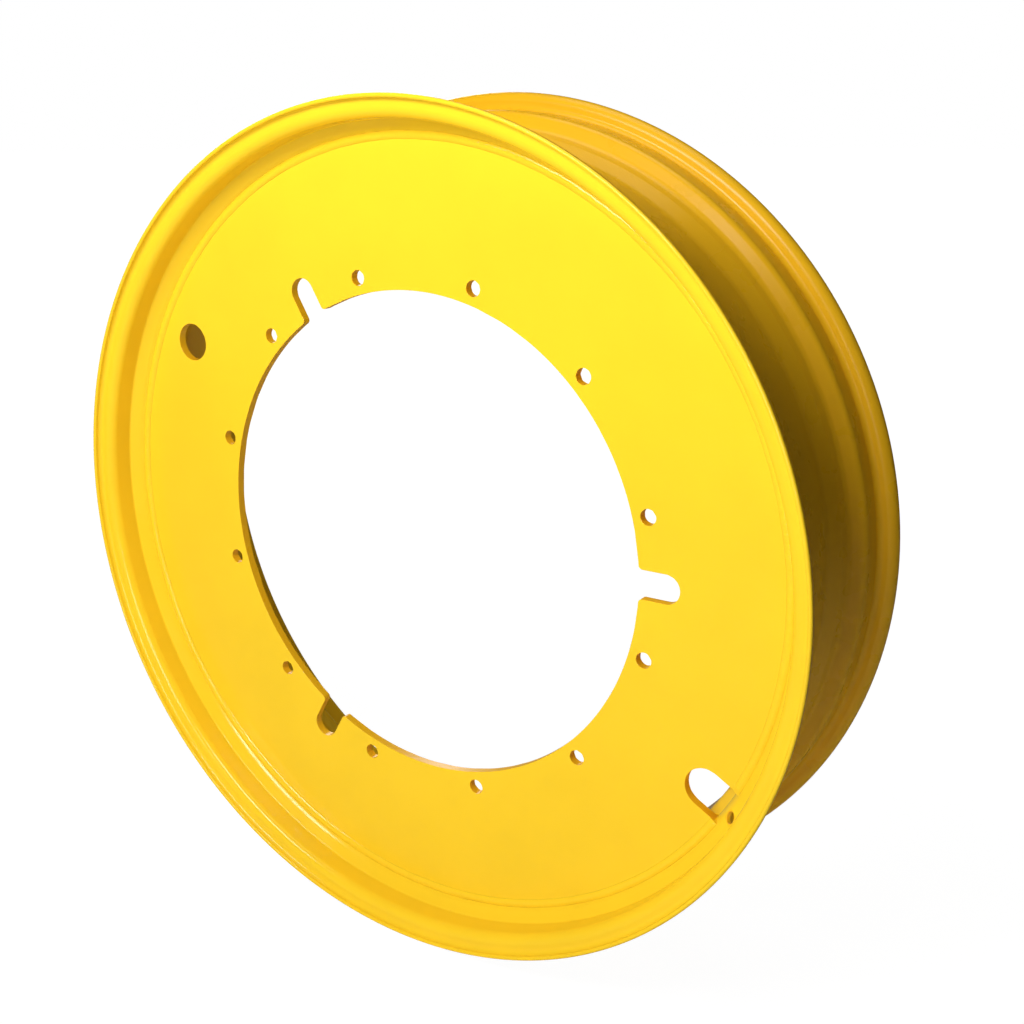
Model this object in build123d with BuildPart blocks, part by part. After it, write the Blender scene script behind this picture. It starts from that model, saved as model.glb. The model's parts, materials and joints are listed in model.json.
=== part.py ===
from build123d import *
import os
from math import cos, hypot, radians, sin, sqrt

# Steel wheel for a farm tractor: a rolled one-piece rim with a flat disc welded into it.
# Millimetres. The axle is the Y axis, the wheel stands upright with +Z up, and the origin is
# on the axle in the front face of the disc. The front faces -Y.

# Rolled sheet of the rim. Radii are on the side that the tyre sits on.
sheet = 6.0
rim_width = 279.4          # from flange wall to flange wall
disc_inset = 51.7          # from the front flange wall to the front face of the disc
seat_radius = 585.0        # bead seats
flange_height = 24.6       # lip above bead seat
lip_reach = 17.0           # from a flange wall to the end of its lip
ledge_drop = 23.0          # from bead seat to the ledge that holds the disc
well_drop = 37.0           # from bead seat to the bottom of the well
shelf_drop = 25.0          # from bead seat to the inner end of the rear shelf
shelf_rise = 4.0           # the rear shelf climbs this much towards the rear

# Runs of the rim's slopes along the axle
front_slope = 21.0         # bead seat down to the ledge
ledge_lead = 5.0           # the ledge starts this far behind the front face of the disc
ledge_tail = 9.3           # and ends this far behind the rear face of the disc
well_slope = 20.0          # ledge down to the well
well_climb = 24.0          # well up to the rear shelf
shelf_run = 13.0
rear_step = 10.0           # rear shelf up to the rear bead seat
rear_seat = 40.7           # width of the rear bead seat

# Bend radii, each on the inside of its bend
curl_bend = 7.0
root_bend = 8.0
seat_bend = 4.0
ledge_bend = 6.0
well_bend = 20.0
well_rear_bend = 25.0
step_bend = 12.0

# Disc, cut from flat plate
plate = 12.7
bore = 705.6
bolt_circle = 752.0
bolt_hole = 22.0
bolt_count = 12
cutout_turn = 1.0          # degrees that all cut-outs stand past the middle between two bolts
hand_hole_turn = 150.0     # degrees from +X towards +Z
notch_turn = 330.0
slot_count = 3
slot_width = 40.0
slot_depth = 58.2          # from the bore to the round end
slot_corner = 6.0
hand_hole = 57.0
hand_hole_inset = 61.0     # from the edge of the disc to the centre of the hole
notch_width = 57.0
notch_depth = 61.5         # from the edge of the disc to the round end

# Valve hole, through the front slope of the rim and in line with the notch
valve_hole = 15.7
valve_place = 16.3         # from the foot of the slope, measured up the slope

# Weld beads, one on each face of the disc
front_bead_disc = 5.0      # leg on the disc
front_bead_slope = 4.8     # leg up the slope of the rim
front_bead_crown = 1.0     # height of the ridge along its face
rear_bead = 5.0            # both legs
rear_bead_crown = 0.6

# Radii and places that follow from the sizes above
lip_radius = seat_radius + flange_height
ledge_radius = seat_radius - ledge_drop
well_radius = seat_radius - well_drop
shelf_radius = seat_radius - shelf_drop
disc_radius = ledge_radius - sheet
front_wall = -disc_inset
rear_wall = rim_width - disc_inset
slope_top = ledge_lead - front_slope
ledge_end = plate + ledge_tail
step_top = rear_wall - rear_seat
step_foot = step_top - rear_step
shelf_end = step_foot - shelf_run

# Turns of the bolts and cut-outs about the axle, seen from the front
bolt_pitch = 360 / bolt_count
first_bolt = bolt_pitch / 2
hand_hole_angle = hand_hole_turn + cutout_turn
notch_angle = notch_turn + cutout_turn

# Tyre side of the rim section, (radius, place along the axle), from the front lip to the rear.
# A bend whose inside is on the air side gets the sheet added to its radius.
rim_corners = [
    (lip_radius, front_wall - lip_reach),
    (lip_radius, front_wall),
    (seat_radius, front_wall),
    (seat_radius, slope_top),
    (ledge_radius, ledge_lead),
    (ledge_radius, ledge_end),
    (well_radius, ledge_end + well_slope),
    (well_radius, shelf_end - well_climb),
    (shelf_radius, shelf_end),
    (shelf_radius + shelf_rise, step_foot),
    (seat_radius, step_top),
    (seat_radius, rear_wall),
    (lip_radius, rear_wall),
    (lip_radius, rear_wall + lip_reach),
]
rim_bends = [
    curl_bend + sheet,
    root_bend,
    seat_bend + sheet,
    ledge_bend,
    ledge_bend + sheet,
    well_bend,
    well_rear_bend,
    ledge_bend + sheet,
    step_bend,
    seat_bend + sheet,
    root_bend,
    curl_bend + sheet,
]

# Front slope in the section plane: its foot on the air side, the way up it and the way off it
up_slope = Vector(ledge_drop, -front_slope).normalized()
off_slope = Vector(up_slope.Y, -up_slope.X)
slope_foot = Vector(ledge_radius, ledge_lead) + off_slope * sheet

# Middle of the sheet where the valve hole goes through, turned to the notch
valve_centre = slope_foot + up_slope * valve_place - off_slope * (sheet / 2)
valve_cos = cos(radians(notch_angle))
valve_sin = sin(radians(notch_angle))
valve_plane = Plane(
    origin=(valve_centre.X * valve_cos, valve_centre.Y, valve_centre.X * valve_sin),
    z_dir=(off_slope.X * valve_cos, off_slope.Y, off_slope.X * valve_sin),
)

# Rim: one rolled section turned about the axle
with BuildPart() as rim:
    with BuildSketch() as rim_section:
        with BuildLine():
            FilletPolyline(rim_corners, radius=rim_bends)
            offset(amount=sheet, side=Side.LEFT)
        make_face()
        ends = rim_section.vertices().group_by(Axis.Y)
        fillet(ends[0] + ends[-1], radius=0.48 * sheet)
    revolve(axis=Axis.Y)
    with BuildSketch(valve_plane):
        Circle(valve_hole / 2)
    extrude(amount=sheet, both=True, mode=Mode.SUBTRACT)
rim.part.label = "rim"

# Outline of the valve notch, which runs out through the edge of the disc
with BuildSketch(Plane.XZ) as notch:
    with PolarLocations(disc_radius, 1, start_angle=notch_angle):
        SlotOverall(2 * notch_depth, notch_width)

# Disc: flat ring with bolt holes, three open slots, a hand hole and the valve notch
with BuildPart() as wheel_disc:
    with BuildSketch(Plane.XZ) as disc_face:
        Circle(disc_radius)
        Circle(bore / 2, mode=Mode.SUBTRACT)
        with PolarLocations(bore / 2, slot_count, start_angle=cutout_turn):
            SlotOverall(2 * slot_depth, slot_width, mode=Mode.SUBTRACT)
        mouths = disc_face.vertices().filter_by(
            lambda v: abs(hypot(v.X, v.Y) - bore / 2) < 0.01
        )
        fillet(mouths, radius=slot_corner)
        with PolarLocations(bolt_circle / 2, bolt_count, start_angle=first_bolt):
            Circle(bolt_hole / 2, mode=Mode.SUBTRACT)
        with PolarLocations(disc_radius - hand_hole_inset, 1, start_angle=hand_hole_angle):
            Circle(hand_hole / 2, mode=Mode.SUBTRACT)
        add(notch.sketch_local, mode=Mode.SUBTRACT)
    extrude(amount=-plate)
wheel_disc.part.label = "wheel_disc"

# Section of the disc where it meets the rim, for seating the beads
with BuildSketch() as disc_edge:
    with Locations((disc_radius, plate / 2)):
        Rectangle(4 * plate, plate, align=(Align.MAX, Align.CENTER))

# Front bead: lies on the disc and the slope, and fills the groove at the edge of the disc
front_toe = slope_foot + up_slope * front_bead_slope
front_face = front_toe - Vector(disc_radius - front_bead_disc, 0)
front_lift = Vector(front_face.Y, -front_face.X).normalized() * front_bead_crown
front_ridge = front_toe - front_face * 0.5 + front_lift
in_slope = front_toe - off_slope * (sheet / 2)
in_seat = (ledge_lead + plate) / 2
with BuildPart() as front_weld:
    with BuildSketch():
        with BuildLine():
            Polyline(
                (disc_radius - front_bead_disc, 0),
                (front_ridge.X, front_ridge.Y),
                (front_toe.X, front_toe.Y),
                (in_slope.X, in_slope.Y),
                (disc_radius + sheet / 2, in_seat),
                (disc_radius - front_bead_disc, in_seat),
                (disc_radius - front_bead_disc, 0),
            )
        make_face()
        add(rim_section.sketch, mode=Mode.SUBTRACT)
        add(disc_edge.sketch, mode=Mode.SUBTRACT)
    revolve(axis=Axis.Y)
    with BuildSketch(Plane.XZ):
        add(notch.sketch_local)
    extrude(amount=plate + ledge_tail, both=True, mode=Mode.SUBTRACT)
front_weld.part.label = "front_weld"

# Rear bead: a fillet between the rear face of the disc and the ledge
rear_ridge = rear_bead / 2 + rear_bead_crown / sqrt(2)
with BuildPart() as rear_weld:
    with BuildSketch():
        with BuildLine():
            Polyline(
                (disc_radius - rear_bead, plate),
                (disc_radius - rear_ridge, plate + rear_ridge),
                (disc_radius, plate + rear_bead),
                (disc_radius + sheet / 2, plate + rear_bead),
                (disc_radius + sheet / 2, in_seat),
                (disc_radius - rear_bead, in_seat),
                (disc_radius - rear_bead, plate),
            )
        make_face()
        add(rim_section.sketch, mode=Mode.SUBTRACT)
        add(disc_edge.sketch, mode=Mode.SUBTRACT)
    revolve(axis=Axis.Y)
    with BuildSketch(Plane.XZ):
        add(notch.sketch_local)
    extrude(amount=plate + ledge_tail, both=True, mode=Mode.SUBTRACT)
rear_weld.part.label = "rear_weld"

os.makedirs("parts", exist_ok=True)
export_step(rim.part, "parts/rim.step")
export_step(wheel_disc.part, "parts/wheel_disc.step")
export_step(front_weld.part, "parts/front_weld.step")
export_step(rear_weld.part, "parts/rear_weld.step")
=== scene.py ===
"""Steel wheel for a farm tractor: a rolled rim with a flat disc welded into it, painted yellow.

The rim and the beads are sections carried round the axle, and the disc has a wall along each
of its outlines and flat faces between them. All sizes are in metres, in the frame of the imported
solids: the axle is the Y axis, the front faces -Y, and the origin is on the axle in the front
face of the disc.
"""

import json
import math

import bpy
import numpy as np
from bpy.props import FloatProperty, FloatVectorProperty, PointerProperty
from mathutils import Matrix, Vector
from mathutils.geometry import delaunay_2d_cdt


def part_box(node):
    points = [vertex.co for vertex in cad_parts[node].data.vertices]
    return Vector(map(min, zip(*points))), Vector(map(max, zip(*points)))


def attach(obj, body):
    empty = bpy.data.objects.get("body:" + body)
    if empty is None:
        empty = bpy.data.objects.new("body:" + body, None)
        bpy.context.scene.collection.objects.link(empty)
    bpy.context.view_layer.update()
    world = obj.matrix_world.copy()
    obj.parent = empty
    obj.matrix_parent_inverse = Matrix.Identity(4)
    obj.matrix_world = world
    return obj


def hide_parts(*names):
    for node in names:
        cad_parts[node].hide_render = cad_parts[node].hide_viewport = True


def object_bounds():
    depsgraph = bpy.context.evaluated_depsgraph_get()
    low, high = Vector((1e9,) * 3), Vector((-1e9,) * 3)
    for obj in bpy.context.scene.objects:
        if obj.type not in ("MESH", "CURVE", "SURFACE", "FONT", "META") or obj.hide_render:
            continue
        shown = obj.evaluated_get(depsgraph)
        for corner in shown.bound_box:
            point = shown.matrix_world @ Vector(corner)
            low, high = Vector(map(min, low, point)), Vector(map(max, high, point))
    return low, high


bl_info = {
    "name": "Tractor Wheel",
    "version": (1, 0, 0),
    "blender": (4, 5, 0),
    "location": "3D View > Sidebar > Wheel",
    "description": "Builds a painted steel tractor wheel and a plain studio around it",
    "category": "Object",
}

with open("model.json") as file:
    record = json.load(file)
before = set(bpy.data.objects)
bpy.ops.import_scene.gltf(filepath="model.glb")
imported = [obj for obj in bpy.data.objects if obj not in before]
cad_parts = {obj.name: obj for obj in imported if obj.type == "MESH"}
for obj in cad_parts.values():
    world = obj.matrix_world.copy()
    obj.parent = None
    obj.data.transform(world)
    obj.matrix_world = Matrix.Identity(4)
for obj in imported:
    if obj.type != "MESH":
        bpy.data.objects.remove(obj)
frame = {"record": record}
cad_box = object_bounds()
mounts = {mount["name"]: mount for mount in frame["record"]["mounts"]}

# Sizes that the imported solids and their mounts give
LIP_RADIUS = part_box("rim")[1].x
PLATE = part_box("wheel_disc")[1].y
DISC_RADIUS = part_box("wheel_disc")[1].z
FLOOR_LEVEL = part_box("rim")[0].z
BORE_RADIUS = mounts["central_bore"]["dims"]["r_mm"] / 1000
BOLT_CIRCLE = mounts["bolt_circle"]["dims"]["pcd_mm"] / 1000
BOLT_HOLE = mounts["bolt_circle"]["dims"]["hole_r_mm"] / 500
BOLT_COUNT = mounts["bolt_circle"]["dims"]["count"]
VALVE_HOLE = mounts["valve_hole"]["dims"]["r_mm"] / 500

# Places of the cut-outs about the axle, before their common turn, from +X towards +Z
FIRST_BOLT = math.pi / BOLT_COUNT
SLOT_TURNS = np.radians([0, 120, 240])
HAND_HOLE_TURN = math.radians(150)
NOTCH_TURN = math.radians(330)

# The square of the rim's grid that holds the valve hole: half its angle and its faces per side.
# The grid starts again one such half away from it, with as many columns as are given here.
WINDOW_TURN = math.radians(1)
WINDOW_FACES = 8
OTHER_COLUMNS = 238

# Steps in the quarter circle of a rounded edge
EDGE_STEPS = 4
# The valve hole's rounded edge, and how deep the front bead's hidden side lies in the rim, as
# shares of the rim's sheet
VALVE_EDGE = 0.125
BEAD_DEPTH = 0.125

# Rows of faces along a bead in each ripple, and points across its face
RIPPLE_ROWS = 6
FACE_POINTS = 15
# How much a bead's crown swells and sinks, and over how many ripples it falls at an end, down to
# the root of the least share
CROWN_SWELL = 0.2
END_RIPPLES = 2
END_SHARE = 0.05
# How dark the painted shade along a bead's toes is (the shade of their creases), and how much that
# wanders
TOE_SHADE = 0.35
TOE_CHANGE = 0.25


# Sizes and looks that a user would change


def length(name, description, default):
    """A length in metres that the sidebar shows."""
    return FloatProperty(
        name=name, description=description, default=default, unit="LENGTH", precision=4
    )


def turn(name, description, default):
    """An angle that the sidebar shows in degrees."""
    return FloatProperty(
        name=name, description=description, default=math.radians(default), subtype="ANGLE"
    )


def share(name, description, default):
    """A plain number from nothing upwards."""
    return FloatProperty(name=name, description=description, default=default, min=0.0)


def plain_colour(name, description, default):
    """A colour of paint or light."""
    return FloatVectorProperty(
        name=name, description=description, default=default, subtype="COLOR", min=0.0, max=1.0
    )


class RimSizes(bpy.types.PropertyGroup):
    """Rolled section of the rim, measured on the side that the tyre sits on."""

    sheet: length("Sheet", "Thickness of the rolled sheet", 0.006)
    width: length("Width", "From flange wall to flange wall", 0.2794)
    disc_inset: length("Disc Inset", "From the front flange wall to the face of the disc", 0.0517)
    seat_radius: length("Seat Radius", "Radius of both bead seats", 0.585)
    lip_radius: length("Lip Radius", "Radius of both lips", LIP_RADIUS)
    lip_reach: length("Lip Reach", "From a flange wall to the end of its lip", 0.017)
    ledge_drop: length("Ledge Drop", "From bead seat down to the ledge of the disc", 0.023)
    well_drop: length("Well Drop", "From bead seat down to the bottom of the well", 0.037)
    shelf_drop: length("Shelf Drop", "From bead seat down to the rear shelf", 0.025)
    shelf_rise: length("Shelf Rise", "How far the rear shelf climbs", 0.004)
    front_slope: length("Front Slope", "Run of the slope from bead seat to ledge", 0.021)
    ledge_lead: length("Ledge Lead", "From the face of the disc to the start of the ledge", 0.005)
    ledge_tail: length("Ledge Tail", "From the back of the disc to the end of the ledge", 0.0093)
    well_slope: length("Well Slope", "Run from the ledge down to the well", 0.020)
    well_climb: length("Well Climb", "Run from the well up to the rear shelf", 0.024)
    shelf_run: length("Shelf Run", "Width of the rear shelf", 0.013)
    rear_step: length("Rear Step", "Run from the rear shelf up to the rear bead seat", 0.010)
    rear_seat: length("Rear Seat", "Width of the rear bead seat", 0.0407)
    curl_bend: length("Curl Bend", "Inside radius of the bend at a lip", 0.007)
    root_bend: length("Root Bend", "Inside radius of the bend at a flange's root", 0.008)
    seat_bend: length("Seat Bend", "Inside radius of the bend at a bead seat", 0.004)
    foot_bend: length("Foot Bend", "Inside radius of the bend at the slope's foot", 0.029)
    ledge_bend: length("Ledge Bend", "Inside radius of the bends at the ledge", 0.006)
    well_bend: length("Well Bend", "Inside radius of the front bend of the well", 0.020)
    rear_bend: length("Rear Bend", "Inside radius of the rear bend of the well", 0.025)
    step_bend: length("Step Bend", "Inside radius of the bend at the rear step", 0.012)
    valve_hole: length("Valve Hole", "Diameter of the valve hole", VALVE_HOLE)
    valve_place: length("Valve Place", "Up the front slope to the valve hole", 0.0163)


class DiscSizes(bpy.types.PropertyGroup):
    """Flat disc with its holes, slots and notch."""

    cutout_turn: turn("Cut-out Turn", "Turn of all cut-outs past the middle of two bolts", 1.0)
    slot_width: length("Slot Width", "Width of the open slots", 0.040)
    slot_depth: length("Slot Depth", "From the bore to the round end of a slot", 0.0582)
    slot_corner: length("Slot Corner", "Radius at the mouth of a slot", 0.006)
    hand_hole: length("Hand Hole", "Diameter of the hand hole", 0.057)
    hand_hole_inset: length("Hand Hole Inset", "From the disc's edge to the hand hole", 0.061)
    notch_width: length("Notch Width", "Width of the valve notch", 0.057)
    notch_depth: length("Notch Depth", "From the disc's edge to the notch's round end", 0.0615)
    edge_round: length("Edge Round", "Radius that the paint gives a cut edge", 0.0006)


class BeadSizes(bpy.types.PropertyGroup):
    """Weld beads between the disc and the rim."""

    disc_leg: length("Disc Leg", "How far both beads lie on the disc", 0.005)
    slope_leg: length("Slope Leg", "How far the front bead stands before the disc", 0.0027)
    ledge_leg: length("Ledge Leg", "How far the rear bead lies on the ledge", 0.005)
    front_crown: length("Front Crown", "Height of the front bead's face", 0.0026)
    rear_crown: length("Rear Crown", "Height of the rear bead's face", 0.0012)
    ripple_pitch: length("Ripple Pitch", "From one ripple to the next", 0.0042)
    ripple_height: length("Ripple Height", "Height of a ripple", 0.00014)
    toe_wander: length("Toe Wander", "How far a bead's edges wander to either side", 0.0006)
    # Painted shade: width of the dark line along a bead's toes that stands for the shade in the
    # creases
    toe_width: length("Toe Width", "Width of the line of paint along a bead's edges", 0.0012)


class PaintLook(bpy.types.PropertyGroup):
    """Smooth gloss paint over the whole wheel."""

    colour: plain_colour("Colour", "Colour of the paint", (0.93, 0.605, 0.022))
    # Painted shade: the browner colour in the channel and holes stands for the warm shade there
    inner_shade_colour: plain_colour("Inner Colour", "Colour in channel and holes", (0.92, 0.505, 0.012))
    # Painted shade: the dark colour along a bead's toes stands for the shade in the creases there
    toe_shade_colour: plain_colour("Toe Colour", "Colour of paint that gathers", (0.50, 0.34, 0.02))
    thin_depth: share("Thin Depth", "Brightness of a thinner coat beside a full one", 0.96)
    roughness: share("Roughness", "Roughness of the coat", 0.13)
    inner_rough: share("Inner Roughness", "Roughness of the coat in channel and holes", 0.28)
    peel: length("Orange Peel", "Height of the fine waves of a sprayed coat", 0.00002)
    sheet_waves: length("Sheet Waves", "Height of the slow waves of rolled sheet", 0.00004)
    plate_waves: length("Plate Waves", "Height of the slow waves of flat plate", 0.00008)
    bead_waves: length("Bead Waves", "Height of the uneven face of a bead", 0.00012)


class StudioLook(bpy.types.PropertyGroup):
    """Camera, lamps and sky."""

    lens: FloatProperty(name="Lens", description="Focal length", default=46.612, unit="CAMERA")
    azimuth: turn("Azimuth", "How far the camera stands to the right of the axle", 34.339)
    elevation: turn("Elevation", "How high the camera stands above the axle", 16.552)
    roll: turn("Roll", "How far the wheel has rolled back from its frame", 0.22)
    stand: FloatVectorProperty(
        name="Stand",
        description="The camera's place to its right, up and back from the origin",
        subtype="TRANSLATION",
        default=(0.09845, 0.07828, 1.88550),
    )
    lamp_level: share("Lamp Level", "Scales all the lamps together", 1.0)
    sky_colour: plain_colour("Sky Colour", "Colour of the light from all around", (1.0, 0.8, 0.55))
    sky_level: share("Sky Level", "Even light from all around", 0.015)
    sky_shine: share("Sky Shine", "How bright the sky is in the gloss of the paint", 0.03)


# Shapes


def unit(v):
    """Vectors of length one: each row divided by its length."""
    return v / np.linalg.norm(v, axis=-1, keepdims=True)


def turned(v, angle):
    """Plane vectors turned to the left by an angle: (x cos - y sin, x sin + y cos)."""
    c, s = np.cos(angle), np.sin(angle)
    return np.stack([v[..., 0] * c - v[..., 1] * s, v[..., 0] * s + v[..., 1] * c], -1)


def run_places(run, spacing, support):
    """Places along a straight run: even steps, and one place close to each end, which keeps the
    shading flat up to the bend."""
    count = max(2, math.ceil(run / spacing) + 1)
    places = np.linspace(0, run, count)
    if run > 4 * support:
        places = np.sort(np.concatenate([places, [support, run - support]]))
    return places


def bent_path(corners, bends, special, step=math.radians(6), spacing=0.012, support=0.0006):
    """A path of straight runs with an arc of the given radius at each inner corner.

    With half = the turn / 2, an arc of radius b starts b tan(half) before its corner. On a left
    turn its points are centre + b * normal, where the normal points to the right of travel and
    turns with the path. Arcs have a point for each step or less, and straight runs have places
    as run_places gives them. Special gives some runs places of their own, as distances from the
    run's corner. Returns the points, their normals and the number of each run's first point.
    """
    corners = np.array(corners)
    along = unit(np.diff(corners, axis=0))
    right = np.stack([along[:, 1], -along[:, 0]], -1)
    cross = along[:-1, 0] * along[1:, 1] - along[:-1, 1] * along[1:, 0]
    turns = np.arctan2(cross, (along[:-1] * along[1:]).sum(1))
    cut = np.concatenate([[0], np.array(bends) * np.tan(np.abs(turns) / 2), [0]])
    points, normals, firsts, total = [], [], [], 0
    for k in range(len(along)):
        start = corners[k] + along[k] * cut[k]
        run = np.linalg.norm(corners[k + 1] - along[k] * cut[k + 1] - start)
        places = run_places(run, spacing, support)
        if k in special:
            places = np.concatenate([[0], special[k] - cut[k], [run]])
        points.append(start + places[:, None] * along[k])
        normals.append(np.repeat(right[k][None], len(places), 0))
        firsts.append(total)
        total += len(places)
        if k < len(turns):
            count = max(2, math.ceil(abs(turns[k]) / step))
            angle = turns[k] * np.arange(1, count) / count
            side = math.copysign(bends[k], turns[k])
            normal = turned(np.repeat(right[k][None], len(angle), 0), angle)
            points.append(points[-1][-1] + side * (normal - right[k]))
            normals.append(normal)
            total += len(angle)
    return np.concatenate(points), np.concatenate(normals), firsts


def half_round(middle, across, ahead, radius, count=7):
    """Inner points of a half circle: middle + radius (across cos a + ahead sin a), 0 < a < 180."""
    a = np.linspace(0, math.pi, count + 2)[1:-1, None]
    normal = across * np.cos(a) + ahead * np.sin(a)
    return middle + radius * normal, normal


def spun(section, angle):
    """Rows of (radius, axial place) at an angle about the axle: (r cos a, y, r sin a)."""
    radius, y = section[..., 0], section[..., 1]
    return np.stack([radius * np.cos(angle), y + 0 * angle, radius * np.sin(angle)], -1)


def grid_faces(rows, columns, wrap_rows=False, wrap_columns=False):
    """Corner numbers of the quads of a grid whose point (i, j) has the number i * columns + j."""
    i = np.arange(rows if wrap_rows else rows - 1)[:, None]
    j = np.arange(columns if wrap_columns else columns - 1)[None]
    i2, j2 = (i + 1) % rows, (j + 1) % columns
    quads = np.stack([i * columns + j, i2 * columns + j, i2 * columns + j2, i * columns + j2], -1)
    return quads.reshape(-1, 4)


def facing_out(points, normals, faces):
    """Faces whose corners run anticlockwise seen from outside: a face is turned over where the
    cross product of its two edges at the first corner points against its corners' normals."""
    first = points[faces[:, 0]]
    cross = np.cross(points[faces[:, 1]] - first, points[faces[:, -1]] - first)
    inward = (cross * normals[faces].sum(1)).sum(1) < 0
    return np.where(inward[:, None], faces[:, ::-1], faces)


def make_piece(name, node, points, normals, faces, material, marks):
    """Puts a surface with its true normals into a mesh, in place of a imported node. Marks are
    shares from 0 to 1 at its points that its paint reads by their names."""
    mesh = bpy.data.meshes.new(name)
    corners = [face for group in faces for face in facing_out(points, normals, group).tolist()]
    mesh.from_pydata(points.tolist(), [], corners)
    mesh.validate()
    mesh.polygons.foreach_set("use_smooth", np.ones(len(mesh.polygons), bool))
    mesh.normals_split_custom_set_from_vertices(normals.tolist())
    for mark, values in marks.items():
        mesh.attributes.new(mark, "FLOAT", "POINT").data.foreach_set("value", values)
    mesh.materials.append(material)
    mesh.update()
    piece = bpy.data.objects.new(name, mesh)
    bpy.context.scene.collection.objects.link(piece)
    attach(piece, "root")
    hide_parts(node)


def foot_cut(rim):
    """From the corner at the foot of the front slope to where its bend starts: b tan(turn / 2)."""
    return rim.foot_bend * math.tan(math.atan2(rim.ledge_drop, rim.front_slope) / 2)


def rim_at(rim, place, below):
    """Point of the rim's bend at the slope's foot, on the air side, at a place along the axle:
    the bend's middle minus radius (cos a, sin a), as far below the skin as given."""
    middle = np.array([rim.seat_radius - rim.ledge_drop + rim.foot_bend, 0.0])
    middle[1] = rim.ledge_lead + foot_cut(rim)
    radius = rim.foot_bend + rim.sheet - below
    return middle - (math.sqrt(radius**2 - (middle[1] - place) ** 2), middle[1] - place)


def rim_section(rim):
    """Closed section of the rim, from the front lip over the tyre side to the rear lip and back
    on the air side. The tyre side is a bent path, the air side lies one sheet below it, and a
    half circle closes each lip. Returns the points, their normals, the first row of the square
    that holds the valve hole, the last row, and the hole's middle on the air side. Across the
    sheet from row k is row last - k. The square ends two steps into the bend at the foot."""
    sheet, seat, lip = rim.sheet, rim.seat_radius, rim.lip_radius
    ledge, well, shelf = seat - rim.ledge_drop, seat - rim.well_drop, seat - rim.shelf_drop
    front, rear = -rim.disc_inset, rim.width - rim.disc_inset
    tip = rim.lip_reach - sheet / 2
    ledge_end = PLATE + rim.ledge_tail
    step_top = rear - rim.rear_seat
    step_foot = step_top - rim.rear_step
    shelf_end = step_foot - rim.shelf_run
    corners = [
        (lip, front - tip),
        (lip, front),
        (seat, front),
        (seat, rim.ledge_lead - rim.front_slope),
        (ledge, rim.ledge_lead),
        (ledge, ledge_end),
        (well, ledge_end + rim.well_slope),
        (well, shelf_end - rim.well_climb),
        (shelf, shelf_end),
        (shelf + rim.shelf_rise, step_foot),
        (seat, step_top),
        (seat, rear),
        (lip, rear),
        (lip, rear + tip),
    ]
    bends = [
        rim.curl_bend + sheet,
        rim.root_bend,
        rim.seat_bend + sheet,
        rim.foot_bend,
        rim.ledge_bend + sheet,
        rim.well_bend,
        rim.rear_bend,
        rim.ledge_bend + sheet,
        rim.step_bend,
        rim.seat_bend + sheet,
        rim.root_bend,
        rim.curl_bend + sheet,
    ]
    slope_run = 3
    slope = math.hypot(rim.ledge_drop, rim.front_slope)
    down = np.array([-rim.ledge_drop, rim.front_slope]) / slope
    valve = slope - rim.valve_place
    half = WINDOW_TURN * (seat - rim.ledge_drop / 2)
    window = np.linspace(valve - half, slope - foot_cut(rim), WINDOW_FACES - 1)[:-1]
    points, normals, firsts = bent_path(corners, bends, {slope_run: window})
    low = firsts[slope_run] + 1
    middle = corners[slope_run] + down * valve - sheet * normals[low]
    air = points - sheet * normals
    out, ahead = np.array([1.0, 0.0]), np.array([0.0, 1.0])
    rear_lip, rear_normals = half_round((points[-1] + air[-1]) / 2, out, ahead, sheet / 2)
    front_lip, front_normals = half_round((points[0] + air[0]) / 2, -out, -ahead, sheet / 2)
    loop = np.concatenate([points, rear_lip, air[::-1], front_lip])
    loop_normals = np.concatenate([normals, rear_normals, -normals[::-1], front_normals])
    last = 2 * len(points) + len(rear_lip) - 1
    return loop, loop_normals, low, last, middle


def rounded_wall(thickness, edge):
    """A wall cut through a sheet, with both its edges rounded. With b from 0 to 90 degrees, the
    depth below the first face is edge (1 - cos b), then thickness - edge (1 - sin b), and the
    wall stands back by edge (1 - sin b), then edge (1 - cos b). Its normal leans away from the
    depth by cos b, then towards it by sin b."""
    bend = np.linspace(0, math.pi / 2, EDGE_STEPS + 1)
    sin, cos = np.sin(bend), np.cos(bend)
    depth = np.concatenate([edge - edge * cos, thickness - edge + edge * sin])
    inset = edge - edge * np.concatenate([sin, cos])
    return depth, inset, np.concatenate([-cos, sin])


def valve_sleeve(rim, points, air, tyre, middle, out):
    """Rings from a square on the air side, over the rounded edge of the valve hole, through the
    sheet and out to the square on the tyre side. A ring's points are middle - d out + r e, with
    e the unit vector towards a point of the square, d the depth and r the ring's radius."""
    ring = points[air] - middle
    spoke = unit(ring - (ring @ out)[:, None] * out)
    wall = rounded_wall(rim.sheet, rim.sheet * VALVE_EDGE)
    depth, inset, lean = [values[:, None, None] for values in wall]
    rings = middle + (rim.valve_hole / 2 + inset) * spoke - depth * out
    normals = -lean * out - np.sqrt(1 - lean**2) * spoke
    count = len(air)
    inner = len(points) + np.arange(len(depth) * count).reshape(-1, count)
    numbers = np.concatenate([air[None], inner, tyre[None]])
    ahead = np.roll(numbers, -1, 1)
    quads = np.stack([numbers[:-1], ahead[:-1], ahead[1:], numbers[1:]], -1).reshape(-1, 4)
    return rings.reshape(-1, 3), normals.reshape(-1, 3), quads


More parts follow.
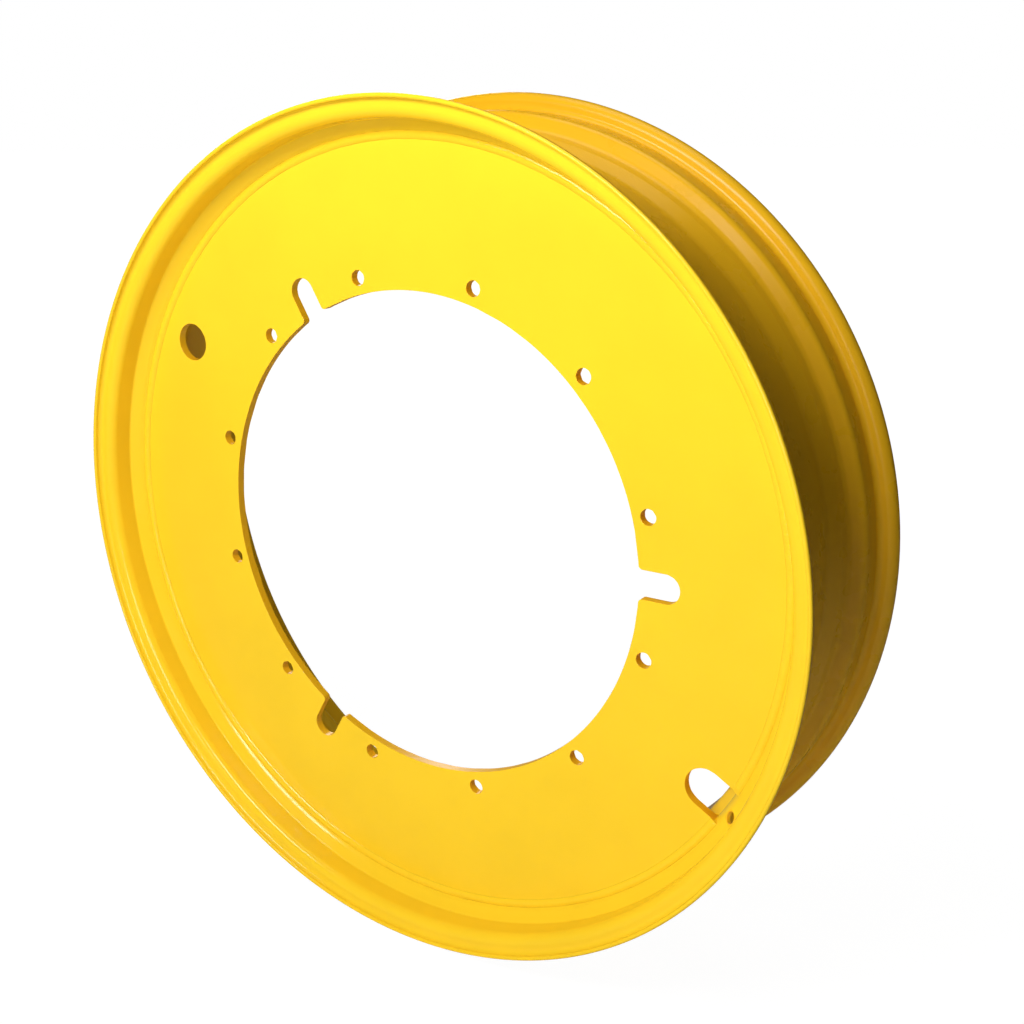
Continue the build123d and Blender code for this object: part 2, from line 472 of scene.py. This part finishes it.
def build_rim(rim, disc, material):
    """The rim: its section turned about the axle, with a square of faces left out on each side
    of the sheet, and a sleeve with the valve hole between the two squares. The tyre side and
    the hole are marked as inner, where the paint is rougher and has painted shade."""
    loop, loop_normals, low, last, middle = rim_section(rim)
    centre = NOTCH_TURN + disc.cutout_turn
    fine = np.linspace(-WINDOW_TURN, WINDOW_TURN, WINDOW_FACES + 1)
    other = np.linspace(2 * WINDOW_TURN, 2 * math.pi - 2 * WINDOW_TURN, OTHER_COLUMNS)
    angle = centre + np.concatenate([fine, other])
    rows, columns = len(loop), len(angle)
    points = spun(loop[:, None], angle).reshape(-1, 3)
    normals = spun(loop_normals[:, None], angle).reshape(-1, 3)
    quads = grid_faces(rows, columns, True, True)
    row, column = quads[:, 0] // columns, quads[:, 0] % columns
    high = low + WINDOW_FACES
    in_tyre = (row >= low) & (row < high)
    in_air = (row >= last - high) & (row < last - low)
    quads = quads[~((in_tyre | in_air) & (column < WINDOW_FACES))]
    up, still = np.arange(WINDOW_FACES), np.zeros(WINDOW_FACES, int)
    side_rows = low + np.concatenate([still, up, still + WINDOW_FACES, WINDOW_FACES - up])
    side_columns = np.concatenate([up, still + WINDOW_FACES, WINDOW_FACES - up, still])
    tyre = side_rows * columns + side_columns
    air = (last - side_rows) * columns + side_columns
    out = spun(loop_normals[last - low], centre)
    middle = spun(middle, centre)
    more, more_normals, sleeve = valve_sleeve(rim, points, air, tyre, middle, out)
    points, normals = np.concatenate([points, more]), np.concatenate([normals, more_normals])
    tyre_side = np.arange(rows) < (last + 1) / 2
    marks = {"inner": np.concatenate([np.repeat(tyre_side, columns), np.ones(len(more))])}
    make_piece("rim_shell", "rim", points, normals, [quads, sleeve], material, marks)


def arc(centre, radius, start, end, step=math.radians(5)):
    """Points of an arc, its end left out: centre + radius (cos a, sin a)."""
    count = max(2, math.ceil(abs(end - start) / step))
    a = np.linspace(start, end, count, endpoint=False)[:, None]
    return np.array(centre) + radius * np.concatenate([np.cos(a), np.sin(a)], 1)


def bore_outline(disc):
    """Edge of the bore with its open slots, anticlockwise seen from the front.

    A mouth's corner is a circle of radius c that touches the bore and the slot's wall: its
    centre lies c beyond the bore and c outside the wall."""
    half, c = disc.slot_width / 2, disc.slot_corner
    foot = math.sqrt((BORE_RADIUS + c) ** 2 - (half + c) ** 2)
    mouth = math.atan2(half + c, foot)
    end = BORE_RADIUS + disc.slot_depth - half
    quarter = math.pi / 2
    pieces = [
        arc((foot, -half - c), c, math.pi - mouth, quarter),
        [(foot, -half)],
        arc((end, 0), half, -quarter, quarter),
        arc((foot, half + c), c, -quarter, -math.pi + mouth),
        arc((0, 0), BORE_RADIUS, mouth, SLOT_TURNS[1] - mouth, math.radians(1)),
    ]
    third = np.concatenate(pieces)
    return np.concatenate([turned(third, disc.cutout_turn + angle) for angle in SLOT_TURNS])


def disc_outline(disc):
    """Outer edge of the disc with the valve notch, anticlockwise seen from the front."""
    half = disc.notch_width / 2
    gap = math.asin(half / DISC_RADIUS)
    end = DISC_RADIUS - disc.notch_depth + half
    quarter = math.pi / 2
    pieces = [
        arc((0, 0), DISC_RADIUS, gap, 2 * math.pi - gap, math.radians(1)),
        [(DISC_RADIUS * math.cos(gap), -half)],
        arc((end, 0), half, 3 * quarter, quarter),
        [(end, half)],
    ]
    return turned(np.concatenate(pieces), NOTCH_TURN + disc.cutout_turn)


def round_hole(radius, angle, diameter, step):
    """Outline of a round hole that stands at a radius and an angle, clockwise from the front."""
    middle = (radius * math.cos(angle), radius * math.sin(angle))
    return arc(middle, diameter / 2, 2 * math.pi, 0, step)


def without_doubles(outline, nearest=1e-6):
    """A closed outline without points that lie on the one before."""
    gap = np.linalg.norm(outline - np.roll(outline, 1, 0), axis=1)
    return outline[gap > nearest]


def outline_normals(outline):
    """Normals to the right of travel: the directions of the two edges at a point, added up."""
    ahead = unit(np.roll(outline, -1, 0) - outline)
    mean = unit(ahead + np.roll(ahead, 1, 0))
    return np.stack([mean[:, 1], -mean[:, 0]], -1)


def inside_steel(middles, outlines):
    """Which points lie in the disc: a point is inside an outline when the outline's edges cross
    the ray to its right an odd number of times, and the steel is inside the first one only. A
    level edge spans no ray, and its rise is only kept from nothing."""
    x, z = middles[:, 0][:, None], middles[:, 2][:, None]
    inside = []
    for outline in outlines:
        a, b = outline, np.roll(outline, -1, 0)
        spans = (a[:, 1] > z) != (b[:, 1] > z)
        rise = np.where(b[:, 1] == a[:, 1], 1e-12, b[:, 1] - a[:, 1])
        meet = a[:, 0] + (z - a[:, 1]) * (b[:, 0] - a[:, 0]) / rise
        inside.append((spans & (x < meet)).sum(1) % 2 == 1)
    return inside[0] & ~np.any(inside[1:], axis=0)


def flat_faces(points, loops, outlines):
    """Triangles that fill the steel between closed loops of points in one plane. Blender's
    Delaunay function keeps the loops' edges, and gives for each place the point it came from."""
    numbers = np.concatenate(loops)
    plane = [Vector(place) for place in points[numbers][:, [0, 2]].tolist()]
    edges, start = [], 0
    for loop in loops:
        end = start + len(loop)
        edges += zip(range(start, end), [*range(start + 1, end), start])
        start = end
    inside_edges, nearest, with_sources = 1, 1e-9, True
    found = delaunay_2d_cdt(plane, edges, [], inside_edges, nearest, with_sources)
    corners, sources = found[2], found[3]
    triangles = numbers[[source[0] for source in sources]][np.array(corners)]
    return triangles[inside_steel(points[triangles].mean(1), outlines)]


def build_disc(disc, material):
    """The disc: walls carried along each outline, with softly rounded edges, and flat faces
    between the outlines. Outlines of openings run clockwise, so that right of travel is out of
    the steel on every wall. The walls are marked as inner, where the paint is rougher and has
    painted shade."""
    hand_turn = HAND_HOLE_TURN + disc.cutout_turn
    hand_radius = DISC_RADIUS - disc.hand_hole_inset
    outlines = [
        disc_outline(disc),
        bore_outline(disc)[::-1],
        round_hole(hand_radius, hand_turn, disc.hand_hole, math.radians(4)),
    ]
    for k in range(BOLT_COUNT):
        bolt_turn = FIRST_BOLT + k * 2 * math.pi / BOLT_COUNT
        outlines.append(round_hole(BOLT_CIRCLE / 2, bolt_turn, BOLT_HOLE, math.radians(7.5)))
    depth, inset, lean = [values[:, None] for values in rounded_wall(PLATE, disc.edge_round)]
    points, normals, inner, walls, front, rear, start = [], [], [], [], [], [], 0
    for outline in map(without_doubles, outlines):
        side = outline_normals(outline)
        place = outline - side * inset[..., None]
        level = np.broadcast_to(depth, place.shape[:2])
        points.append(np.stack([place[..., 0], level, place[..., 1]], -1).reshape(-1, 3))
        out = np.sqrt(1 - lean**2)[..., None] * side
        up = np.broadcast_to(lean, place.shape[:2])
        normals.append(np.stack([out[..., 0], up, out[..., 1]], -1).reshape(-1, 3))
        rows, columns = len(depth), len(outline)
        inner.append(np.repeat(1 - np.abs(lean[:, 0]), columns))
        walls.append(start + grid_faces(rows, columns, False, True))
        front.append(start + np.arange(columns))
        rear.append(start + (rows - 1) * columns + np.arange(columns))
        start += rows * columns
    points, normals = np.concatenate(points), np.concatenate(normals)
    flats = [flat_faces(points, loops, outlines) for loops in (front, rear)]
    marks = {"inner": np.concatenate(inner)}
    make_piece("disc_plate", "wheel_disc", points, normals, walls + flats, material, marks)


def wander(place, seed, waves=6, rate=35.0, faster=1.93, lower=0.8):
    """A smooth wander between -1 and 1: sines of the place along the bead, each about twice as
    fast as the one before and four fifths as high. The seed sets where they start."""
    heights = lower ** np.arange(waves)
    rates = rate * faster ** np.arange(waves)
    starts = seed * np.arange(1, waves + 1) ** 1.5
    return np.sin(place[..., None] * rates + starts) @ heights / heights.sum()


def build_bead(name, node, disc, beads, material, toes, hidden, side, crown):
    """A weld bead: a section carried round the axle from one wall of the notch to the other.

    The face is the chord between the two toes, raised by crown (1 - (2 t - 1)^2) and lowered by
    the valleys of the ripples sin(2 pi (s / pitch - (2 t - 1)^2 / 2)), which fade out at the
    toes, with s the place along the bead and t the place across it. The toes wander a little,
    the crown swells and sinks, and the face falls towards both ends. The hidden points lie in
    the joint, and the last of them is where the end faces fan out from. The toes are marked
    with painted shade, a dark line for the shade in the creases where the bead meets the steel."""
    half = disc.notch_width / 2
    gap = math.asin(half / DISC_RADIUS)
    centre = NOTCH_TURN + disc.cutout_turn
    bead_length = (2 * math.pi - 2 * gap) * DISC_RADIUS
    s = np.linspace(0, 1, int(bead_length / beads.ripple_pitch * RIPPLE_ROWS))
    place = s[:, None] * bead_length
    t = (1 - np.cos(np.linspace(0, math.pi, FACE_POINTS))) / 2
    on_disc, on_rim = np.array(toes)
    chord = unit(on_rim - on_disc)
    rise = side * np.array([chord[1], -chord[0]])
    a = on_disc - chord * (beads.toe_wander * wander(place, seed=0.7))[..., None]
    b = on_rim + chord * (beads.toe_wander * wander(place, seed=1.9))[..., None]
    ripple = np.sin(2 * math.pi * (place / beads.ripple_pitch - (2 * t - 1) ** 2 / 2))
    swell = 1 + CROWN_SWELL * wander(place, seed=3.1)
    height = crown * swell * (1 - (2 * t - 1) ** 2)
    height += beads.ripple_height / 2 * (ripple - 1) * 4 * t * (1 - t)
    from_end = np.minimum(place, bead_length - place) / (END_RIPPLES * beads.ripple_pitch)
    height *= np.sqrt(np.clip(from_end, END_SHARE, 1))
    face = a + (b - a) * t[:, None] + rise * height[..., None]
    below = np.broadcast_to(np.array(hidden), (len(s), len(hidden), 2))
    section = np.concatenate([face, below], 1)
    spread = np.arcsin(half / section[..., 0])
    angle = centre + spread + s[:, None] * (2 * math.pi - 2 * spread)
    points = spun(section, angle)
    rows, columns = points.shape[:2]
    along = np.gradient(points, axis=0)
    across = np.roll(points, -1, 1) - np.roll(points, 1, 1)
    across[:, 0] = points[:, 1] - points[:, 0]
    across[:, len(t) - 1] = points[:, len(t) - 1] - points[:, len(t) - 2]
    normals = side * unit(np.cross(across, along))
    k = np.arange(columns - 2)
    fan = np.stack([np.full(columns - 2, columns - 1), k, k + 1], -1)
    end_points = np.concatenate([points[0], points[-1]])
    end_normals = np.repeat(unit(np.stack([-along[0].mean(0), along[-1].mean(0)])), columns, 0)
    quads = grid_faces(rows, columns, False, True)
    caps = np.concatenate([fan, fan + columns]) + rows * columns
    # Painted shade: a dark line along both toes, for the shade in the creases where the bead meets
    # the steel
    from_toe = np.minimum(t, 1 - t) * np.linalg.norm(on_rim - on_disc)
    strength = TOE_SHADE + TOE_CHANGE * wander(place, seed=2.3)
    toe_shade = np.clip(1 - from_toe / beads.toe_width, 0, 1) * strength
    toe = np.zeros(rows * columns + 2 * columns)
    toe[: rows * columns].reshape(rows, columns)[:, : len(t)] = toe_shade
    all_points = np.concatenate([points.reshape(-1, 3), end_points])
    all_normals = np.concatenate([normals.reshape(-1, 3), end_normals])
    make_piece(name, node, all_points, all_normals, [quads, caps], material, {"toe": toe})


# Paint

# Where most values of a noise lie, and the narrower part that the coat's colour follows
NOISE_RANGE = (0.3, 0.7)
COAT_RANGE = (0.35, 0.65)
# How much smoother and rougher than its mean the coat is in places
UNEVEN_GLOSS = (-0.02, 0.03)
# Sizes of the slow waves of the steel, as scales of their noise: the higher, the closer
RIM_WAVES = 14.0
DISC_WAVES = 9.0
BEAD_WAVES = 60.0


def node_adder(tree):
    """A short way to add a node to a tree, set its inputs and link them."""

    def add(kind, inputs=None, **settings):
        node = tree.nodes.new(kind)
        for key, value in settings.items():
            setattr(node, key, value)
        for key, value in (inputs or {}).items():
            if isinstance(value, bpy.types.NodeSocket):
                tree.links.new(value, node.inputs[key])
            else:
                node.inputs[key].default_value = value
        return node

    return add


def empty_tree(owner):
    """A material's or world's node tree with nothing in it."""
    owner.use_nodes = True
    owner.node_tree.nodes.clear()
    return owner.node_tree


def between(add, value, old, new):
    """A value carried from one range to another."""
    inputs = {"Value": value, "From Min": old[0], "From Max": old[1]}
    inputs |= {"To Min": new[0], "To Max": new[1]}
    return add("ShaderNodeMapRange", inputs).outputs["Result"]


def mixed(add, share_socket, first, second):
    """A colour between two colours."""
    inputs = {"Factor": share_socket, "A": first, "B": second}
    return add("ShaderNodeMix", inputs, data_type="RGBA").outputs["Result"]


def yellow_paint(name, look, wave_height, wave_scale):
    """Gloss enamel. Its colour and its gloss vary a little from place to place. Along the toes
    of a bead it has painted shade, a dark line for the shade in the creases there. In the channel
    and on the walls of the holes it is duller and has painted shade, a browner colour for the
    warm shade there. Fine orange peel lies on it, and the steel below it has slow waves."""
    material = bpy.data.materials.new(name)
    add = node_adder(empty_tree(material))
    place = add("ShaderNodeTexCoord").outputs["Object"]
    coat = add("ShaderNodeTexNoise", {"Vector": place, "Scale": 6.0, "Detail": 4.0})
    depth = between(add, coat.outputs["Fac"], COAT_RANGE, (1.0, look.thin_depth))
    inner = add("ShaderNodeAttribute", attribute_name="inner").outputs["Fac"]
    # Painted shade: the channel and the walls of the holes take a browner colour for the warm
    # shade there
    colour = mixed(add, inner, (*look.colour, 1), (*look.inner_shade_colour, 1))
    # Painted shade along a bead's toes, for the shade in the creases there
    toe = add("ShaderNodeAttribute", attribute_name="toe").outputs["Fac"]
    colour = mixed(add, toe, colour, (*look.toe_shade_colour, 1))
    colour = add("ShaderNodeHueSaturation", {"Color": colour, "Value": depth}).outputs["Color"]
    gloss = add("ShaderNodeTexNoise", {"Vector": place, "Scale": 22.0, "Detail": 3.0})
    mean = between(add, inner, (0.0, 1.0), (look.roughness, look.inner_rough))
    uneven = between(add, gloss.outputs["Fac"], NOISE_RANGE, UNEVEN_GLOSS)
    rough = add("ShaderNodeMath", {0: mean, 1: uneven}, operation="ADD").outputs["Value"]
    peel = add("ShaderNodeTexNoise", {"Vector": place, "Scale": 420.0, "Detail": 1.0})
    waves = add("ShaderNodeTexNoise", {"Vector": place, "Scale": wave_scale, "Detail": 2.0})
    fine = add("ShaderNodeBump", {"Height": peel.outputs["Fac"], "Distance": look.peel})
    inputs = {"Height": waves.outputs["Fac"], "Distance": wave_height}
    slow = add("ShaderNodeBump", inputs | {"Normal": fine.outputs["Normal"]})
    inputs = {"Base Color": colour, "Roughness": rough, "Normal": slow.outputs["Normal"]}
    inputs |= {"IOR": 1.5, "Specular IOR Level": 0.25}
    shader = add("ShaderNodeBsdfPrincipled", inputs)
    add("ShaderNodeOutputMaterial", {"Surface": shader.outputs["BSDF"]})
    return material


# Studio

# Name, place, width, height, power in watts
LAMPS = (
    ("key_lamp", (0.05, -1.4, 1.15), 1.1, 0.4, 29.0),
    ("front_lamp", (0.35, -3.4, 0.15), 1.5, 1.1, 38.0),
    ("side_panel", (-2.45, -3.6, 0.1), 4.3, 1.4, 2.5),
    ("top_lamp", (0.0, 0.1, 2.6), 1.6, 1.6, 17.0),
    ("back_lamp", (-2.6, 2.4, 1.4), 1.6, 1.6, 45.0),
)

# The floor's matt shades, and how much of its light is in the gloss of the paint
FLOOR_SHADES = (0.82, 0.88)
FLOOR_SHINE = 0.3
# How far from the wheel's foot the floor starts and ends turning to plain white, how white it
# is before, and the strength of that white
FLOOR_TURN = (0.9, 2.6)
FLOOR_WHITE = 0.93
WHITE_LEVEL = 1.05

# The camera's sensor and nearest and farthest view, as Blender counts them
SENSOR_WIDTH = 36.0
VIEW_RANGE = (0.05, 200.0)
IMAGE_SIZE = 1024
# Where the lens's axis meets the image, in pixels from its top left corner
AXIS_PIXEL = (487.65, 484.06)


def make_floor(sides=96, rings=12, first=0.5, growth=1.45):
    """A round floor under the wheel: rings of faces, each wider than the last by a constant
    factor, and a plain face in the middle. A ring's radius is first * growth^k."""
    radius = first * growth ** np.arange(rings)
    angle = np.linspace(0, 2 * math.pi, sides, endpoint=False)
    flat = spun(np.stack([radius, 0 * radius], -1)[:, None], angle)[..., [0, 2, 1]]
    points = flat.reshape(-1, 3) + (0, 0, FLOOR_LEVEL)
    mesh = bpy.data.meshes.new("floor")
    faces = grid_faces(rings, sides, False, True)[:, ::-1].tolist() + [list(range(sides))]
    mesh.from_pydata(points.tolist(), [], faces)
    floor = bpy.data.objects.new("floor", mesh)
    bpy.context.scene.collection.objects.link(floor)
    return floor


def floor_material():
    """Pale floor that the camera sees as white, with the wheel's shadow kept faintly on it: matt
    near the wheel, and plain white from a few steps away, where it meets the white sky. It is
    dim in the gloss of the paint."""
    material = bpy.data.materials.new("pale_floor")
    add = node_adder(empty_tree(material))
    place = add("ShaderNodeTexCoord").outputs["Object"]
    below = (0, 0, FLOOR_LEVEL)
    away = add("ShaderNodeVectorMath", {0: place, 1: below}, operation="DISTANCE")
    white_share = between(add, away.outputs["Value"], FLOOR_TURN, (FLOOR_WHITE, 1.0))
    path = add("ShaderNodeLightPath").outputs
    seen = add("ShaderNodeMath", {0: path["Is Camera Ray"], 1: white_share}, operation="MULTIPLY")
    grain = add("ShaderNodeTexNoise", {"Vector": place, "Scale": 60.0, "Detail": 3.0})
    shade = between(add, grain.outputs["Fac"], NOISE_RANGE, FLOOR_SHADES)
    shine = between(add, path["Is Glossy Ray"], (0.0, 1.0), (1.0, FLOOR_SHINE))
    colour = add("ShaderNodeMath", {0: shade, 1: shine}, operation="MULTIPLY")
    matt = add("ShaderNodeBsdfDiffuse", {"Color": colour.outputs["Value"]})
    white = add("ShaderNodeEmission", {"Color": (1, 1, 1, 1), "Strength": WHITE_LEVEL})
    inputs = {0: seen.outputs["Value"], 1: matt.outputs[0], 2: white.outputs[0]}
    both = add("ShaderNodeMixShader", inputs)
    add("ShaderNodeOutputMaterial", {"Surface": both.outputs["Shader"]})
    return material


def make_world(look):
    """Even light from all around, brighter in the gloss of the paint, and plain white to the
    camera."""
    world = bpy.data.worlds.new("studio_world")
    bpy.context.scene.world = world
    add = node_adder(empty_tree(world))
    path = add("ShaderNodeLightPath").outputs
    level = between(add, path["Is Glossy Ray"], (0.0, 1.0), (look.sky_level, look.sky_shine))
    lit = add("ShaderNodeBackground", {"Color": (*look.sky_colour, 1), "Strength": level})
    white = add("ShaderNodeBackground", {"Color": (1, 1, 1, 1), "Strength": 1.0})
    inputs = {0: path["Is Camera Ray"], 1: lit.outputs[0], 2: white.outputs[0]}
    both = add("ShaderNodeMixShader", inputs)
    add("ShaderNodeOutputWorld", {"Surface": both.outputs["Shader"]})


def make_lamp(name, place, width, height, power):
    """A soft lamp that points at the middle of the wheel."""
    light = bpy.data.lights.new(name, "AREA")
    light.shape = "RECTANGLE"
    light.size, light.size_y = width, height
    light.energy = power
    lamp = bpy.data.objects.new(name, light)
    lamp.location = place
    middle = (cad_box[0] + cad_box[1]) / 2
    lamp.rotation_euler = (middle - Vector(place)).to_track_quat("-Z", "Y").to_euler()
    bpy.context.scene.collection.objects.link(lamp)


def make_camera(look):
    """The camera. It stands turned to the azimuth and elevation, and rolls with the wheel. Its
    shift puts the lens's axis where it is in the image."""
    data = bpy.data.cameras.new("camera")
    camera = bpy.data.objects.new("camera", data)
    bpy.context.scene.collection.objects.link(camera)
    bpy.context.scene.camera = camera
    data.sensor_width = SENSOR_WIDTH
    data.lens = look.lens
    data.shift_x = 0.5 - AXIS_PIXEL[0] / IMAGE_SIZE
    data.shift_y = AXIS_PIXEL[1] / IMAGE_SIZE - 0.5
    data.clip_start, data.clip_end = VIEW_RANGE
    az, el = look.azimuth, look.elevation
    back = Vector((math.sin(az) * math.cos(el), -math.cos(az) * math.cos(el), math.sin(el)))
    right = Vector((math.cos(az), math.sin(az), 0.0))
    axes = Matrix((right, back.cross(right), back)).transposed()
    stand = axes.to_4x4()
    stand.translation = axes @ Vector(look.stand)
    camera.matrix_world = Matrix.Rotation(look.roll, 4, "Y") @ stand


# Operators and panel


class OBJECT_OT_wheel_rim(bpy.types.Operator):
    """Build the rolled rim with its valve hole"""

    bl_idname = "object.wheel_rim"
    bl_label = "Build Rim"

    def execute(self, context):
        scene = context.scene
        look = scene.wheel_paint
        paint = yellow_paint("rim_paint", look, look.sheet_waves, RIM_WAVES)
        build_rim(scene.wheel_rim, scene.wheel_disc, paint)
        return {"FINISHED"}


class OBJECT_OT_wheel_disc(bpy.types.Operator):
    """Build the flat disc with its holes, slots and notch"""

    bl_idname = "object.wheel_disc"
    bl_label = "Build Disc"

    def execute(self, context):
        scene = context.scene
        look = scene.wheel_paint
        paint = yellow_paint("disc_paint", look, look.plate_waves, DISC_WAVES)
        build_disc(scene.wheel_disc, paint)
        return {"FINISHED"}


class OBJECT_OT_wheel_beads(bpy.types.Operator):
    """Build the weld beads on both faces of the disc"""

    bl_idname = "object.wheel_beads"
    bl_label = "Build Weld Beads"

    def execute(self, context):
        scene = context.scene
        rim, disc, beads = scene.wheel_rim, scene.wheel_disc, scene.wheel_beads
        look = scene.wheel_paint
        paint = yellow_paint("bead_paint", look, look.bead_waves, BEAD_WAVES)
        on_disc = DISC_RADIUS - beads.disc_leg
        sunk = rim.sheet * BEAD_DEPTH
        toes = [(on_disc, 0), rim_at(rim, -beads.slope_leg, 0)]
        joint = [rim_at(rim, place, sunk) for place in (-beads.slope_leg, rim.ledge_lead, PLATE)]
        joint += [(DISC_RADIUS, PLATE), (DISC_RADIUS, 0)]
        crown = beads.front_crown
        build_bead("front_bead", "front_weld", disc, beads, paint, toes, joint, 1, crown)
        toes = [(on_disc, PLATE), (DISC_RADIUS, PLATE + beads.ledge_leg)]
        joint = [(DISC_RADIUS, PLATE)]
        crown = beads.rear_crown
        build_bead("rear_bead", "rear_weld", disc, beads, paint, toes, joint, -1, crown)
        return {"FINISHED"}


class OBJECT_OT_wheel_studio(bpy.types.Operator):
    """Build the floor, the lamps, the sky and the camera"""

    bl_idname = "object.wheel_studio"
    bl_label = "Build Studio"

    def execute(self, context):
        look = context.scene.wheel_studio
        make_floor().data.materials.append(floor_material())
        make_world(look)
        for name, place, width, height, power in LAMPS:
            make_lamp(name, place, width, height, power * look.lamp_level)
        make_camera(look)
        context.scene.view_settings.view_transform = "Standard"
        return {"FINISHED"}


class VIEW3D_PT_wheel(bpy.types.Panel):
    """Sizes, looks and build buttons of the wheel"""

    bl_label = "Tractor Wheel"
    bl_space_type = "VIEW_3D"
    bl_region_type = "UI"
    bl_category = "Wheel"

    def draw(self, context):
        for kind, operator in PANEL_ROWS:
            box = self.layout.box()
            group = getattr(context.scene, kind)
            for name in group.__class__.__annotations__:
                box.prop(group, name)
            if operator:
                box.operator(operator)


GROUPS = {
    "wheel_rim": RimSizes,
    "wheel_disc": DiscSizes,
    "wheel_beads": BeadSizes,
    "wheel_paint": PaintLook,
    "wheel_studio": StudioLook,
}
PANEL_ROWS = (
    ("wheel_paint", None),
    ("wheel_rim", "object.wheel_rim"),
    ("wheel_disc", "object.wheel_disc"),
    ("wheel_beads", "object.wheel_beads"),
    ("wheel_studio", "object.wheel_studio"),
)
CLASSES = (
    *GROUPS.values(),
    OBJECT_OT_wheel_rim,
    OBJECT_OT_wheel_disc,
    OBJECT_OT_wheel_beads,
    OBJECT_OT_wheel_studio,
    VIEW3D_PT_wheel,
)


def register():
    """Adds the classes, and the sizes and looks to the scene."""
    for cls in CLASSES:
        bpy.utils.register_class(cls)
    for name, group in GROUPS.items():
        setattr(bpy.types.Scene, name, PointerProperty(type=group))


def unregister():
    """Takes off what register added."""
    for name in GROUPS:
        delattr(bpy.types.Scene, name)
    for cls in reversed(CLASSES):
        bpy.utils.unregister_class(cls)


def main():
    register()
    bpy.ops.object.wheel_rim()
    bpy.ops.object.wheel_disc()
    bpy.ops.object.wheel_beads()
    bpy.ops.object.wheel_studio()


if __name__ == "__main__":
    main()
